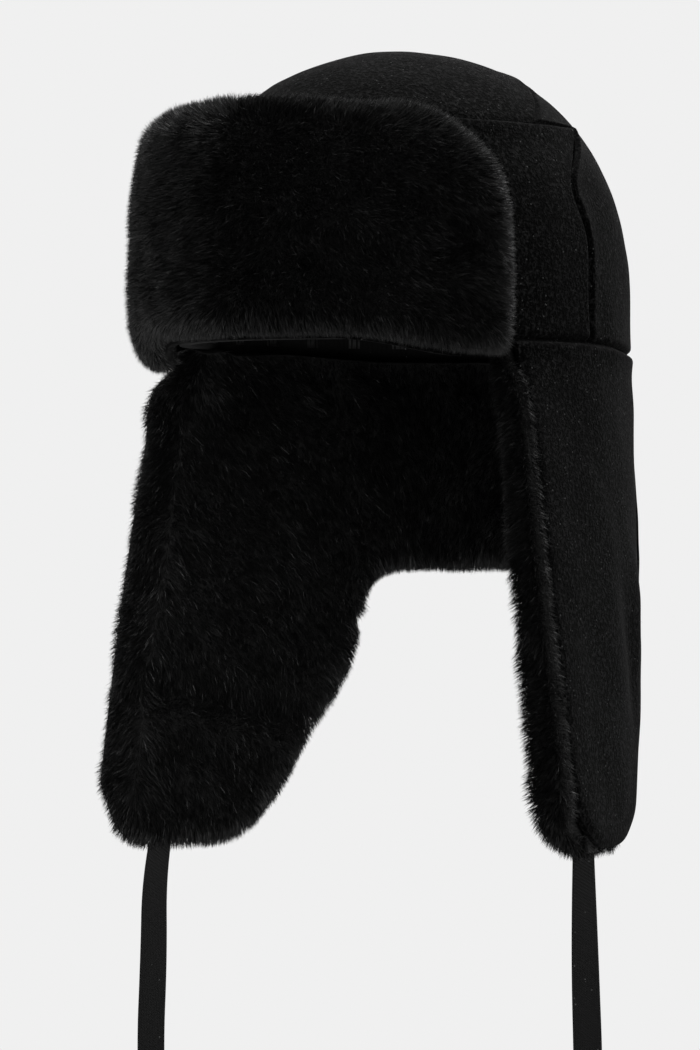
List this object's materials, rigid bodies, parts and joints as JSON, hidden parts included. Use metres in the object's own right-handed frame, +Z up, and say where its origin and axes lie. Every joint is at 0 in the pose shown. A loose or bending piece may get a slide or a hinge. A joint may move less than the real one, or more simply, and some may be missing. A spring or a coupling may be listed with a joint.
{
  "type": "trapper hat",
  "caption": "Black wool trapper hat with a turned-up faux-fur brim, long fur-lined ear flaps that fold up, a neck flap and flat tape ties.",
  "frame": {"origin": "centre of the head opening, level with the seam between the crown and the flaps", "axes": "+Z up, -Y out of the front of the hat, +X to the wearer's left"},
  "size_m": [0.247, 0.2419, 0.6069],
  "materials": {
    "wool_felt": "milled wool melton, matt, with fine grey lint",
    "faux_fur": "dense faux fur, about 14 mm pile, soft sheen",
    "wadding": "bonded polyester wadding",
    "lining_satin": "quilted satin",
    "interlining": "stiff woven interlining",
    "sweatband_tape": "ribbed grosgrain tape",
    "tie_tape": "flat woven tape, matt",
    "thread": "sewing thread"
  },
  "bodies": {
    "crown": {"top_panel": "wool_felt", "side_panel_left": "wool_felt", "side_panel_right": "wool_felt", "back_panel": "wool_felt", "crown_wadding": "wadding", "crown_lining": "lining_satin", "sweatband": "sweatband_tape", "brim_backing": "wool_felt", "brim_interlining": "interlining", "brim_fur_left": "faux_fur", "brim_fur_right": "faux_fur", "brim_tack_left": "thread", "brim_tack_right": "thread", "neck_flap_wool": "wool_felt", "neck_flap_wadding": "wadding", "neck_flap_fur": "faux_fur"},
    "ear_flap_left": {"ear_flap_wool_left": "wool_felt", "ear_flap_wadding_left": "wadding", "ear_flap_fur_left": "faux_fur", "tie_tab_left": "tie_tape"},
    "ear_flap_right": {"ear_flap_wool_right": "wool_felt", "ear_flap_wadding_right": "wadding", "ear_flap_fur_right": "faux_fur", "tie_tab_right": "tie_tape"},
    "tape_left": {"tie_left": "tie_tape", "tie_end_left": "tie_tape"},
    "tape_right": {"tie_right": "tie_tape", "tie_end_right": "tie_tape"}
  },
  "joints": [
    {"name": "ear_flap_left_fold", "type": "hinge", "parent": "crown", "child": "ear_flap_left", "pos_m": [0.096, 0, -0.0003], "axis": [0, -1, 0], "range_deg": [0, 150]},
    {"name": "ear_flap_right_fold", "type": "hinge", "parent": "crown", "child": "ear_flap_right", "pos_m": [-0.096, 0, -0.0003], "axis": [0, 1, 0], "range_deg": [0, 150]},
    {"name": "tie_left_swing", "type": "hinge", "parent": "ear_flap_left", "child": "tape_left", "pos_m": [0.1155, -0.027, -0.213], "axis": [0, -1, 0], "range_deg": [-150, 0]},
    {"name": "tie_right_swing", "type": "hinge", "parent": "ear_flap_right", "child": "tape_right", "pos_m": [-0.1155, -0.027, -0.213], "axis": [0, 1, 0], "range_deg": [-150, 0]}
  ],
  "couplings": [
    {"joint": "tie_left_swing", "follows": "ear_flap_left_fold", "ratio": -1},
    {"joint": "tie_right_swing", "follows": "ear_flap_right_fold", "ratio": -1}
  ]
}
